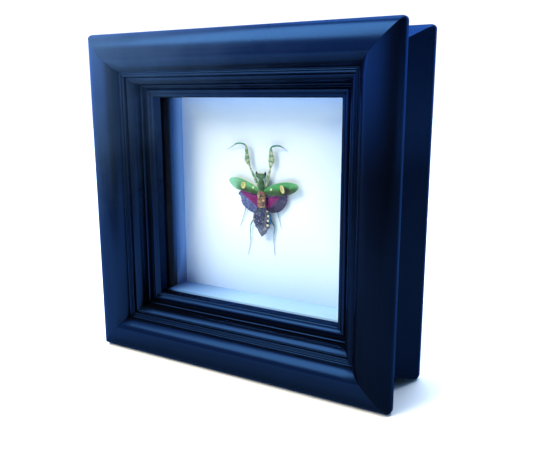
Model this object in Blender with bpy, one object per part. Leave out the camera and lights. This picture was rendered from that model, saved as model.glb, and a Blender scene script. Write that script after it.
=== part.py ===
"""Framed mantis specimen: two moulded frames back to back, a glazed white box, and a spread mantis.

The frame stands upright on z = 0, faces -Y and has the origin under its middle.
An inset is a distance in from the outermost edge of the frame. A depth is measured from its front plane,
where the pieces are modelled; they are all parented to an empty that carries them to the origin.
A height on the specimen is measured from the white board towards the viewer.
"""

from math import cos, pi, radians, sin

import bmesh
import bpy
from mathutils import Matrix, Vector

mm = 0.001

# The frame
frame_side = 200 * mm
moulding_depth = 31.8 * mm
frame_depth = 2 * moulding_depth
fit_gap = 0.3 * mm
side_foot_inset = 8.8 * mm
resting_flat_front = 7.2 * mm
resting_flat_back = 9.6 * mm
shoulder_crest_inset = 12.3 * mm
crest_flat_width = 1.2 * mm
crown_radius_inward = 9.3 * mm
crown_radius_depth = 9.6 * mm
sight_inset = 37.4 * mm
rabbet_front = 26.6 * mm
rabbet_inset = 32.0 * mm
rear_cut_depth = 20.5 * mm

# The small members between the crown and the sight edge, as (inset, depth) in millimetres
first_bead = ((22.8, 6.9), (23.95, 7.3))
second_bead = ((24.2, 7.5), (25.35, 8.0))
twin_bead_rise = 0.75
quirk = [(25.45, 9.4), (25.85, 9.5)]
roll_middle = (23.5, 14.4)
roll_radius = 6.0
step_ridge = ((29.75, 17.2), (31.1, 17.1))
step_ridge_rise = 0.95
step_wall = [(31.3, 18.8), (31.9, 20.0)]
inner_bead = ((32.1, 19.8), (35.6, 20.0))
inner_bead_rise = 1.1
sight_bead = ((35.7, 19.9), (37.3, 21.0))
sight_bead_rise = 0.5
sight_lip_depth = 21.2

# The glass, the white box and the boards behind it
glass_front = rabbet_front + fit_gap
glass_thickness = 1.8 * mm
box_front = glass_front + glass_thickness + fit_gap
box_wall_inset = 32.6 * mm
box_face_inset = 37.6 * mm
white_wall_front = 37.3 * mm
board_face = 47.7 * mm
mount_board_inset = 29.8 * mm
mount_board_thickness = 2.4 * mm
backing_board_inset = 29.7 * mm
backing_board_thickness = 3.0 * mm
point_inset = 27.8 * mm
point_length = 9 * mm
point_width = 6 * mm
point_thickness = 0.5 * mm
point_spacing = 90 * mm

# The specimen, placed from the middle of the white board
specimen_centre = Vector((0.0, board_face, frame_side / 2))
wing_thickness = 0.3 * mm
hindwing_height = 2.3 * mm
forewing_height = 3.6 * mm
leg_root_height = 1.45 * mm


def clear_scene():
    for old in list(bpy.data.objects):
        bpy.data.objects.remove(old, do_unlink=True)


def finish(name, colour, roughness, metallic=0.0, alpha=1.0):
    material = bpy.data.materials.new(name)
    material.use_nodes = True
    shader = material.node_tree.nodes["Principled BSDF"]
    shader.inputs["Base Color"].default_value = (*colour, 1.0)
    shader.inputs["Roughness"].default_value = roughness
    shader.inputs["Metallic"].default_value = metallic
    shader.inputs["Alpha"].default_value = alpha
    return material


def piece(name, corners, faces, material, smooth_below=None):
    """One closed body with its faces turned outwards."""
    mesh = bpy.data.meshes.new(name)
    mesh.from_pydata([tuple(corner) for corner in corners], [], faces)
    working = bmesh.new()
    working.from_mesh(mesh)
    bmesh.ops.recalc_face_normals(working, faces=working.faces)
    working.to_mesh(mesh)
    working.free()
    mesh.materials.append(material)
    if smooth_below is not None:
        mesh.shade_smooth()
        mesh.set_sharp_from_angle(angle=radians(smooth_below))
    made = bpy.data.objects.new(name, mesh)
    bpy.context.scene.collection.objects.link(made)
    return made


def loft(rings):
    """Joins rings of equal length into a skin, with a flat face over each end."""
    count = len(rings[0])
    corners = [corner for ring in rings for corner in ring]
    faces = []
    for start in range(0, len(corners) - count, count):
        for step in range(count):
            after = (step + 1) % count
            faces.append((start + step, start + after, start + count + after, start + count + step))
    faces.append(tuple(reversed(range(count))))
    faces.append(tuple(range(len(corners) - count, len(corners))))
    return corners, faces


def arc(middle, radius_inward, radius_depth, start, end, steps):
    """Points (inset, depth) on an ellipse, with angles in degrees: 180 is outwards and 270 is forwards."""
    points = []
    for step in range(steps + 1):
        angle = radians(start + (end - start) * step / steps)
        points.append((middle[0] + radius_inward * cos(angle), middle[1] + radius_depth * sin(angle)))
    return points


def bead(start, end, rise, steps=5):
    """A small round bead over the line from start to end, standing proud of it towards the viewer."""
    run = Vector(end) - Vector(start)
    outwards = Vector((run.y, -run.x)).normalized()
    points = []
    for step in range(steps + 1):
        share = step / steps
        point = Vector(start) + run * share + outwards * rise * sin(pi * share)
        points.append((point.x, point.y))
    return points


def in_metres(points):
    return [(inset * mm, depth * mm) for inset, depth in points]


def moulding_face():
    """The shaped face of the moulding, from the outer foot round the shoulder and in to the last step."""
    foot = [(side_foot_inset, moulding_depth), (0, resting_flat_back)]
    shoulder = arc(
        (shoulder_crest_inset, resting_flat_front), shoulder_crest_inset, resting_flat_front, 180, 270, 12
    )
    crown_middle = (shoulder_crest_inset + crest_flat_width, crown_radius_depth)
    crown = arc(crown_middle, crown_radius_inward, crown_radius_depth, 270, 342, 8)
    twin_beads = bead(*first_bead, twin_bead_rise) + bead(*second_bead, twin_bead_rise)
    roll = arc(roll_middle, roll_radius, roll_radius, 294, 360, 7)
    step = bead(*step_ridge, step_ridge_rise) + step_wall
    return foot + shoulder + crown + in_metres(twin_beads + quirk + roll + step)


def front_outline():
    """The front moulding ends in two beads, the sight edge and a rabbet for the glass."""
    inner_beads = bead(*inner_bead, inner_bead_rise) + bead(*sight_bead, sight_bead_rise)
    sight_edge = [(sight_inset, sight_lip_depth * mm), (sight_inset, rabbet_front)]
    rabbet = [(rabbet_inset, rabbet_front), (rabbet_inset, moulding_depth)]
    return moulding_face() + in_metres(inner_beads) + sight_edge + rabbet


def back_outline():
    """The rear moulding is the same, turned round, with its inner beads cut away to take the box."""
    return moulding_face() + [(rabbet_inset, rear_cut_depth), (rabbet_inset, moulding_depth)]


def rail(name, outline, quarter_turns, faces_back, material):
    """One mitred side of a frame. The bottom rail is made first and then turned into its place."""
    half = frame_side / 2
    mitre_gap = fit_gap / 2 * 2**0.5
    rings = []
    for end in (-1, 1):
        ring = []
        for inset, depth in outline:
            depth = min(depth, moulding_depth - fit_gap / 2)
            if faces_back:
                depth = frame_depth - depth
            ring.append(Vector((end * (half - inset - mitre_gap), depth, inset)))
        rings.append(ring)
    to_middle = Matrix.Translation((0, 0, -half))
    turn = Matrix.Translation((0, 0, half)) @ Matrix.Rotation(quarter_turns * pi / 2, 4, "Y") @ to_middle
    corners, faces = loft([[turn @ corner for corner in ring] for ring in rings])
    return piece(name, corners, faces, material, smooth_below=28)


def make_frame(material):
    sides = {"bottom": 0, "left": 1, "top": 2, "right": 3}
    for side, quarter_turns in sides.items():
        rail(f"front_rail_{side}", front_outline(), quarter_turns, False, material)
        rail(f"back_rail_{side}", back_outline(), quarter_turns, True, material)


def block(name, low, high, material):
    """A flat board with square edges between two opposite corners."""
    low, high = Vector(low), Vector(high)
    outline = [(low.x, low.z), (high.x, low.z), (high.x, high.z), (low.x, high.z)]
    corners, faces = loft([[(x, y, z) for x, z in outline] for y in (low.y, high.y)])
    return piece(name, corners, faces, material)


def sheet(name, inset, front, thickness, material):
    """A square sheet that reaches to the same inset on all four sides."""
    half = frame_side / 2 - inset
    low = (-half, front, frame_side / 2 - half)
    high = (half, front + thickness, frame_side / 2 + half)
    return block(name, low, high, material)


def strip(name, side, front, back, material):
    """One wall of the box. The top and bottom walls run across, and the others stand between them."""
    outer = frame_side / 2 - box_wall_inset
    inner = frame_side / 2 - box_face_inset
    middle = frame_side / 2
    spans = {
        "top": ((-outer, inner), (outer, outer)),
        "bottom": ((-outer, -outer), (outer, -inner)),
        "left": ((-outer, -inner + fit_gap), (-inner, inner - fit_gap)),
        "right": ((inner, -inner + fit_gap), (outer, inner - fit_gap)),
    }
    (low_x, low_z), (high_x, high_z) = spans[side]
    return block(name, (low_x, front, middle + low_z), (high_x, back, middle + high_z), material)


def make_box(glass, white, black, board, steel):
    sheet("glass_pane", rabbet_inset + fit_gap, glass_front, glass_thickness, glass)
    sheet("mount_board", mount_board_inset, board_face, mount_board_thickness, white)
    backing_front = board_face + mount_board_thickness + fit_gap
    sheet("backing_board", backing_board_inset, backing_front, backing_board_thickness, board)
    wall_back = board_face - fit_gap
    strip("white_wall_bottom", "bottom", box_front, wall_back, white)
    for side in ("top", "left", "right"):
        strip(f"spacer_{side}", side, box_front, white_wall_front - fit_gap, black)
        strip(f"white_wall_{side}", side, white_wall_front, wall_back, white)
    make_points(backing_front + backing_board_thickness + fit_gap, steel)


def make_points(front, material):
    """Small pointed tabs, two on each side, that hold the backing board in the rear frame."""
    half = frame_side / 2
    for quarter_turns in range(4):
        turn = Matrix.Translation((0, 0, half)) @ Matrix.Rotation(quarter_turns * pi / 2, 4, "Y")
        for end, along in enumerate((-point_spacing / 2, point_spacing / 2)):
            number = 2 * quarter_turns + end + 1
            tip = point_inset - half
            outline = [
                (along, tip),
                (along + point_width / 2, tip + point_length / 2),
                (along, tip + point_length),
                (along - point_width / 2, tip + point_length / 2),
            ]
            rings = [
                [turn @ Vector((x, depth, z)) for x, z in outline]
                for depth in (front, front + point_thickness)
            ]
            corners, faces = loft(rings)
            piece(f"backing_point_{number}", corners, faces, material)


def on_board(x, height, z):
    """A place on the specimen in millimetres: across, towards the viewer and up from the middle."""
    return specimen_centre + Vector((x, -height, z)) * mm


def limb(name, stations, material, sides=8):
    """A jointed limb as one skin. A station is (x, height, z, width, thickness) in millimetres."""
    places = [Vector(station[:3]) for station in stations]
    rings = []
    for index, station in enumerate(stations):
        before = places[max(index - 1, 0)]
        after = places[min(index + 1, len(places) - 1)]
        run = Vector((after.x - before.x, after.z - before.z)).normalized()
        across = Vector((-run.y, 0, run.x))
        width, thickness = station[3:]
        ring = []
        for side in range(sides):
            angle = 2 * pi * side / sides
            offset = across * (width / 2 * cos(angle)) + Vector((0, thickness / 2 * sin(angle), 0))
            ring.append(on_board(*(places[index] + offset)))
        rings.append(ring)
    corners, faces = loft(rings)
    return piece(name, corners, faces, material, smooth_below=50)


def plate(name, front_grid, thickness, material):
    """A thin wing from a grid of (x, height, z) points on its face, in millimetres."""
    rows, columns = len(front_grid), len(front_grid[0])
    front = [on_board(*point) for row in front_grid for point in row]
    back = [corner + Vector((0, thickness, 0)) for corner in front]
    offset = rows * columns
    faces = []
    for row in range(rows - 1):
        for column in range(columns - 1):
            corner = row * columns + column
            quad = (corner, corner + 1, corner + columns + 1, corner + columns)
            faces.append(quad)
            faces.append(tuple(offset + index for index in reversed(quad)))
    rim = list(range(columns))
    rim += [row * columns + columns - 1 for row in range(1, rows)]
    rim += [(rows - 1) * columns + column for column in range(columns - 2, -1, -1)]
    rim += [row * columns for row in range(rows - 2, 0, -1)]
    for index, corner in enumerate(rim):
        after = rim[(index + 1) % len(rim)]
        faces.append((corner, corner + offset, after + offset, after))
    return piece(name, front + back, faces, material, smooth_below=40)


def between(table, share):
    """Reads a value from a list of (share, value) pairs, rounding the way from one to the next."""
    for (low, low_value), (high, high_value) in zip(table, table[1:]):
        if share <= high:
            part = (share - low) / (high - low)
            return low_value + (high_value - low_value) * (1 - cos(pi * part)) / 2
    return table[-1][1]


def forewing(name, root, tip, leading, trailing, material, spans=14, chords=7):
    """A leathery forewing: leading and trailing give its reach to each side of the line root to tip."""
    root, tip = Vector(root), Vector(tip)
    run = tip - root
    across = Vector((-run.y, run.x)).normalized() * (1 if run.x > 0 else -1)
    grid = []
    for span in range(spans + 1):
        share = span / spans
        row = []
        for chord in range(chords + 1):
            side = chord / chords
            reach = -between(trailing, share) * (1 - side) + between(leading, share) * side
            place = root + run * share + across * reach
            arch = 0.55 * sin(pi * side) + 0.35 * sin(pi * share)
            row.append((place.x, forewing_height / mm + arch, place.y))
        grid.append(row)
    return plate(name, grid, wing_thickness, material)


def hindwing(name, root, reaches, material, folds=9, rings=6):
    """A pleated fan. The reaches are (angle in degrees, length in millimetres) round from its root."""
    root = Vector(root)
    steps = 2 * folds
    first, last = reaches[0][0], reaches[-1][0]
    shares = [((angle - first) / (last - first), length) for angle, length in reaches]
    grid = []
    for step in range(steps + 1):
        share = step / steps
        angle = radians(first + (last - first) * share)
        length = between(shares, share)
        pleat = 0.16 if step % 2 else -0.16
        row = []
        for ring in range(rings + 1):
            out = 0.08 + 0.92 * ring / rings
            place = root + Vector((cos(angle), sin(angle))) * length * out
            row.append((place.x, hindwing_height / mm + pleat * out, place.y))
        grid.append(row)
    return plate(name, grid, wing_thickness, material)


def make_wings(green, magenta):
    lead = [(0, 1.2), (0.1, 2.4), (0.3, 3.3), (0.5, 3.8), (0.7, 3.6), (0.87, 2.6), (1, 0.3)]
    trail = [(0, 1.3), (0.1, 2.8), (0.3, 3.6), (0.5, 3.8), (0.7, 3.7), (0.87, 2.8), (1, 0.3)]
    forewing("forewing_left", (-3.4, 6.2), (-23.7, 11.1), lead, trail, green)
    forewing("forewing_right", (3.5, 6.2), (25.8, 9.8), lead, trail, green)
    left_reach = [(165, 14.6), (176, 16.1), (183, 14.4), (198, 14.2), (223, 12.5), (240, 11.5), (262, 11.3)]
    right_reach = [(12, 15.3), (3, 15.6), (-9, 15.2), (-36, 13.0), (-52, 11.3), (-66, 9.6), (-80, 8.5)]
    hindwing("hindwing_left", (-2.6, 1.4), left_reach, magenta)
    hindwing("hindwing_right", (2.7, 1.4), right_reach, magenta)


def make_body(green, brown, grey):
    limb("mantis_head", head_stations(), green, sides=12)
    pronotum = [
        (0.0, 4.0, 12.6, 2.0, 1.4),
        (0.0, 4.0, 11.8, 3.3, 2.0),
        (0.0, 4.0, 10.4, 4.2, 2.4),
        (0.0, 4.0, 8.8, 4.3, 2.4),
        (0.0, 4.0, 7.2, 4.0, 2.3),
        (0.0, 4.0, 6.2, 4.3, 2.4),
    ]
    wing_bearing = [
        (0.1, 3.9, 4.9, 5.8, 2.9),
        (0.2, 3.9, 2.8, 6.3, 3.2),
        (0.2, 3.9, 1.2, 6.0, 3.0),
        (0.2, 3.9, -0.8, 6.4, 3.0),
        (0.2, 3.9, -2.8, 6.1, 2.7),
        (0.3, 4.0, -4.2, 5.4, 2.2),
    ]
    limb("mantis_thorax", pronotum + wing_bearing, brown, sides=12)
    limb("mantis_abdomen", abdomen_stations(), grey, sides=14)


def head_stations():
    """The head seen from above, from one pointed eye across to the other, in millimetres."""
    half_head = [
        (3.0, 18.05, 0.25, 0.3),
        (3.1, 17.2, 1.3, 1.1),
        (3.0, 16.5, 2.0, 1.7),
        (2.65, 15.95, 2.5, 2.1),
        (1.9, 15.35, 3.3, 2.2),
        (0.9, 15.0, 3.7, 2.1),
    ]
    middle = -0.2
    right = [(middle + x, 4.1, z, width, thickness) for x, z, width, thickness in half_head]
    left = [(middle - x, 4.1, z, width, thickness) for x, z, width, thickness in reversed(half_head)]
    return right + [(middle, 4.1, 14.95, 3.8, 2.1)] + left


def abdomen_stations():
    """A flat leaf-like abdomen, each segment with a lobe that stands out at its hind corner."""
    top, tip = -4.8, -22.9
    segments = 7
    steps_each = 3
    outline = [(0, 5.6), (0.09, 9.4), (0.17, 11.4), (0.3, 12.8), (0.46, 12.6), (0.62, 10.5), (0.82, 5.8), (1, 0.6)]
    centre_line = [(0, 0.4), (0.3, 0.75), (0.75, 0.8), (1, 0.4)]
    stations = []
    for step in range(segments * steps_each + 1):
        share = step / (segments * steps_each)
        lobe = (step % steps_each) / (steps_each - 1) * 0.9 * sin(pi * share)
        width = between(outline, share) + lobe
        thickness = 2.5 * (1 - 0.75 * share**2)
        stations.append((between(centre_line, share), 4.3, top + (tip - top) * share, width, thickness))
    return stations


def make_forelegs(green):
    """Raptorial forelegs: a long coxa, a broad femur, a short tibia and a thin tarsus."""
    left = [
        (-2.1, 2.3, 7.6, 1.2, 0.8),
        (-3.0, 2.5, 8.8, 1.7, 1.0),
        (-3.9, 2.7, 10.8, 1.9, 1.2),
        (-5.2, 3.0, 13.8, 1.9, 1.2),
        (-6.9, 3.2, 17.0, 1.6, 1.1),
        (-8.4, 3.3, 19.8, 1.3, 1.1),
        (-8.8, 3.3, 20.9, 1.5, 1.2),
        (-9.8, 3.4, 23.0, 3.0, 1.4),
        (-10.5, 3.4, 24.6, 4.2, 1.5),
        (-10.5, 3.4, 26.2, 3.5, 1.4),
        (-10.6, 3.4, 28.4, 2.7, 1.3),
        (-10.8, 3.4, 31.2, 1.9, 1.1),
        (-11.1, 3.4, 33.0, 1.3, 0.9),
        (-12.2, 3.4, 34.1, 1.2, 0.9),
        (-14.6, 3.2, 34.5, 1.1, 0.8),
        (-17.4, 3.1, 34.5, 1.2, 0.8),
        (-19.4, 2.9, 33.8, 0.8, 0.7),
        (-21.4, 2.4, 32.6, 0.5, 0.5),
        (-24.4, 1.8, 31.2, 0.45, 0.45),
        (-27.2, 1.1, 30.0, 0.3, 0.3),
    ]
    right = [
        (2.1, 2.3, 7.6, 1.2, 0.8),
        (2.8, 2.4, 9.0, 1.6, 1.0),
        (3.3, 2.6, 11.2, 1.9, 1.2),
        (4.1, 2.8, 14.0, 1.9, 1.2),
        (4.9, 3.0, 16.6, 1.6, 1.1),
        (5.8, 3.2, 19.0, 1.3, 1.1),
        (6.0, 3.3, 20.6, 1.5, 1.2),
        (6.4, 3.4, 23.0, 3.3, 1.4),
        (7.0, 3.4, 25.0, 4.9, 1.5),
        (6.9, 3.4, 26.6, 4.1, 1.4),
        (6.7, 3.4, 28.5, 3.1, 1.3),
        (6.5, 3.4, 30.8, 2.2, 1.1),
        (6.5, 3.4, 32.3, 1.4, 0.9),
        (7.3, 3.3, 33.4, 1.2, 0.9),
        (9.4, 3.2, 33.9, 1.1, 0.8),
        (11.8, 3.1, 34.0, 1.2, 0.8),
        (13.5, 3.0, 33.6, 0.9, 0.7),
        (14.6, 2.6, 32.9, 0.5, 0.5),
        (15.7, 2.2, 31.9, 0.45, 0.45),
        (16.8, 1.6, 30.9, 0.3, 0.3),
    ]
    limb("foreleg_left", left, green)
    limb("foreleg_right", right, green)


def walking_leg(name, root, knee, ankle, foot, material):
    """A thin walking leg: femur from root to knee, tibia to the ankle and tarsus to the foot."""
    root, knee, ankle, foot = (Vector(place) for place in (root, knee, ankle, foot))
    root_height = leg_root_height / mm
    bones = [
        (root, knee, root_height, 1.2, (0.6, 0.9, 0.7)),
        (knee, ankle, 1.2, 0.8, (0.7, 0.55, 0.45)),
        (ankle, foot, 0.8, 0.45, (0.45, 0.4, 0.35)),
    ]
    stations = []
    for start, end, start_height, end_height, widths in bones:
        for number, width in enumerate(widths):
            share = (number + 0.5) / len(widths)
            place = start.lerp(end, share)
            height = start_height + (end_height - start_height) * share
            stations.append((place.x, height, place.y, width, min(width, 0.7)))
    stations[-1] = (foot.x, bones[-1][3], foot.y, 0.25, 0.25)
    return limb(name, stations, material, sides=6)


def make_walking_legs(pale_green):
    walking_leg("midleg_left", (-1.6, 0.2), (-12.2, -4.2), (-15.6, -13.6), (-18.0, -18.5), pale_green)
    walking_leg("midleg_right", (1.6, 0.2), (9.2, -4.6), (11.2, -12.4), (12.0, -17.0), pale_green)
    walking_leg("hindleg_left", (-1.5, -3.0), (-9.6, -16.9), (-9.8, -27.9), (-12.2, -36.7), pale_green)
    walking_leg("hindleg_right", (1.5, -3.0), (7.8, -16.1), (6.9, -27.0), (7.5, -35.2), pale_green)


def stand_on_origin():
    """Carries every piece back by half the frame's depth, so that the origin is under its middle."""
    carrier = bpy.data.objects.new("frame_middle", None)
    carrier.location = (0, -frame_depth / 2, 0)
    bpy.context.scene.collection.objects.link(carrier)
    for made in bpy.data.objects:
        if made.type == "MESH":
            made.parent = carrier


def make_glue_dab(material):
    """The dab of glue that holds the thorax off the white board."""
    rings = []
    for height, radius in ((0.3, 1.3), (0.9, 0.9), (1.95, 1.1)):
        turn = [2 * pi * side / 12 for side in range(12)]
        rings.append([on_board(radius * cos(angle), height, 4.2 + radius * sin(angle)) for angle in turn])
    corners, faces = loft(rings)
    return piece("glue_dab", corners, faces, material, smooth_below=40)


def main():
    clear_scene()
    black_paint = finish("black satin paint", (0.006, 0.012, 0.03), 0.3)
    glass = finish("clear glass", (0.95, 0.98, 1.0), 0.02, alpha=0.2)
    white_board = finish("white board", (0.85, 0.92, 1.0), 0.7)
    hardboard = finish("brown hardboard", (0.16, 0.09, 0.05), 0.8)
    steel = finish("steel points", (0.6, 0.6, 0.6), 0.35, metallic=1.0)
    green_wing = finish("green wing", (0.12, 0.35, 0.10), 0.45)
    magenta_wing = finish("magenta wing", (0.35, 0.03, 0.18), 0.5)
    green_body = finish("green body", (0.10, 0.25, 0.08), 0.5)
    brown_body = finish("brown thorax", (0.30, 0.16, 0.16), 0.55)
    grey_body = finish("grey abdomen", (0.13, 0.11, 0.17), 0.6)
    pale_leg = finish("pale legs", (0.42, 0.48, 0.36), 0.5)
    clear_glue = finish("dried glue", (0.8, 0.78, 0.7), 0.3)
    make_frame(black_paint)
    make_box(glass, white_board, black_paint, hardboard, steel)
    make_body(green_body, brown_body, grey_body)
    make_wings(green_wing, magenta_wing)
    make_forelegs(green_body)
    make_walking_legs(pale_leg)
    make_glue_dab(clear_glue)
    stand_on_origin()


main()
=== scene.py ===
from math import cos, exp, pi, radians, sin, sqrt
from random import Random

import bmesh
import bpy
from mathutils import Matrix, Vector, noise


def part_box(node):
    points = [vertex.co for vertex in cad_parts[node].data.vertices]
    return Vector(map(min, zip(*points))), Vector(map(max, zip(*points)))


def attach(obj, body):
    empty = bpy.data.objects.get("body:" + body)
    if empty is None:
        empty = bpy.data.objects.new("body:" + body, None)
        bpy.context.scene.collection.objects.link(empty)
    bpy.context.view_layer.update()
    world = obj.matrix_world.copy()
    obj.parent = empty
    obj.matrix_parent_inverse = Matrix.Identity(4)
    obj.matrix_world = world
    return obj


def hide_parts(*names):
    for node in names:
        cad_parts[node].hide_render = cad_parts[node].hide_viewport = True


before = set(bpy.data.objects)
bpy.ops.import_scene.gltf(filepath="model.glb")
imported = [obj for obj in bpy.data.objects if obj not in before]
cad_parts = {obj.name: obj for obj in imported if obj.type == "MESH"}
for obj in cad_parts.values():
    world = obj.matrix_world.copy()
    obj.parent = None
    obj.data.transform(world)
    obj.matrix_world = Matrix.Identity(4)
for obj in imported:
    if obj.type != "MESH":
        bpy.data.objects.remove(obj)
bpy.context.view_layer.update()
mm = 0.001
print("CAD frame loaded")


# The camera, at the photograph's angle

view = {"place": (0.1943, -0.3162, 0.1656), "turn": (78.03, 0.94, 29.2), "lens": 42.26, "sensor": 36}

cameraData = bpy.data.cameras.new("photoCamera")
cameraData.lens = view["lens"]
cameraData.sensor_width = view["sensor"]
cameraData.clip_start = 0.01
camera = bpy.data.objects.new("photoCamera", cameraData)
camera.location = view["place"]
camera.rotation_mode = "YXZ"  # the small roll comes first, then the tilt, then the turn
camera.rotation_euler = [radians(angle) for angle in view["turn"]]
bpy.context.scene.collection.objects.link(camera)
bpy.context.scene.camera = camera


# Working on one piece at a time

def selectOnly(piece):
    bpy.ops.object.select_all(action="DESELECT")
    piece.select_set(True)
    bpy.context.view_layer.objects.active = piece


def nameNew(name):
    # names the primitive that was added last
    piece = bpy.context.object
    piece.name = piece.data.name = name
    return piece


def addRound(name, sides, radius=1):
    bpy.ops.mesh.primitive_circle_add(vertices=sides, radius=radius, fill_type="NGON")
    return nameNew(name)


def selectAll():
    bpy.ops.mesh.select_all(action="SELECT")


def startEdit(piece):
    selectOnly(piece)
    bpy.ops.object.mode_set(mode="EDIT")
    selectAll()


def endEdit():
    bpy.ops.object.mode_set(mode="OBJECT")


def extrude(x=0, y=0, z=0):
    bpy.ops.mesh.extrude_region_move(TRANSFORM_OT_translate={"value": (x, y, z)})


def faceOutwards():
    selectAll()
    bpy.ops.mesh.normals_make_consistent(inside=False)


def pickFaces(piece, wanted):
    bpy.ops.mesh.select_mode(type="FACE")
    working = bmesh.from_edit_mesh(piece.data)
    for face in working.faces:
        face.select_set(wanted(face.normal))
    bmesh.update_edit_mesh(piece.data)


def movePicked(piece, change, along=None):
    # moves what is selected in edit mode, and may mark how far along a limb it is
    working = bmesh.from_edit_mesh(piece.data)
    layers = working.verts.layers.float
    layer = None if along is None else layers.get("along") or layers.new("along")
    for point in working.verts:
        if point.select:
            point.co = change @ point.co
            if along is not None:
                point[layer] = along
    bmesh.update_edit_mesh(piece.data)


def addModifier(piece, kind, **settings):
    selectOnly(piece)
    modifier = piece.modifiers.new(kind, kind)
    for name, value in settings.items():
        setattr(modifier, name, value)
    bpy.ops.object.modifier_apply(modifier=modifier.name)


def turnOutwards(piece):
    startEdit(piece)
    faceOutwards()
    endEdit()


def joinTo(piece, others):
    selectOnly(piece)
    for other in others:
        other.select_set(True)
    bpy.ops.object.join()


def finishPiece(piece, node, material, smoothBelow):
    selectOnly(piece)
    bpy.ops.object.shade_smooth_by_angle(angle=radians(smoothBelow))
    piece.data.materials.clear()
    piece.data.materials.append(material)
    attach(piece, "root")
    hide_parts(node)


def copyPiece(piece, name, change):
    made = piece.copy()
    made.data = piece.data.copy()
    made.name = made.data.name = name
    made.data.transform(change)
    bpy.context.scene.collection.objects.link(made)
    return made


# Materials: a Value is one output of a node, and sums on values add their Math nodes

class Value:
    def __init__(self, nodes, socket):
        self.nodes = nodes
        self.socket = socket

    def __add__(self, other):
        return self.nodes.maths("ADD", self, other)

    def __radd__(self, other):
        return self.nodes.maths("ADD", other, self)

    def __sub__(self, other):
        return self.nodes.maths("SUBTRACT", self, other)

    def __rsub__(self, other):
        return self.nodes.maths("SUBTRACT", other, self)

    def __mul__(self, other):
        return self.nodes.maths("MULTIPLY", self, other)

    def __rmul__(self, other):
        return self.nodes.maths("MULTIPLY", other, self)

    def __truediv__(self, other):
        return self.nodes.maths("DIVIDE", self, other)

    def __rtruediv__(self, other):
        return self.nodes.maths("DIVIDE", other, self)

    def __pow__(self, other):
        return self.nodes.maths("POWER", self, other)

    def __abs__(self):
        return self.nodes.maths("ABSOLUTE", self)


class Nodes:
    # the nodes of one material, or of the light all round
    def __init__(self, tree):
        self.tree = tree

    def link(self, value, socket):
        if isinstance(value, Value):
            self.tree.links.new(value.socket, socket)
        else:
            socket.default_value = value

    def node(self, kind, settings=None, inputs=None, output=0):
        made = self.tree.nodes.new("ShaderNode" + kind)
        for name, value in (settings or {}).items():
            if name == "stops":
                self.setStops(made.color_ramp, value)
            else:
                setattr(made, name, value)
        for name, value in (inputs or {}).items():
            self.link(value, made.inputs[name])
        return Value(self, made.outputs[output])

    def setStops(self, ramp, stops):
        ramp.elements[0].position, ramp.elements[1].position = stops[0][0], stops[-1][0]
        for place, _ in stops[1:-1]:
            ramp.elements.new(place)
        for element, (_, colour) in zip(ramp.elements, stops):
            element.color = (*colour, 1)

    def maths(self, operation, first, second=0.0):
        return self.node("Math", {"operation": operation}, {0: first, 1: second})

    def vectors(self, operation, inputs, output=0):
        return self.node("VectorMath", {"operation": operation}, inputs, output)

    def rise(self, value, low, high, start=0.0, end=1.0):
        settings = {"interpolation_type": "SMOOTHSTEP"}
        return self.node("MapRange", settings, {0: value, 1: low, 2: high, 3: start, 4: end})

    def showBlend(self, share, first, second, output="Material Output"):
        # the surface is a blend of two shaders
        blend = self.node("MixShader", inputs={0: share, 1: first, 2: second})
        self.link(blend, self.tree.nodes[output].inputs["Surface"])


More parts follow.
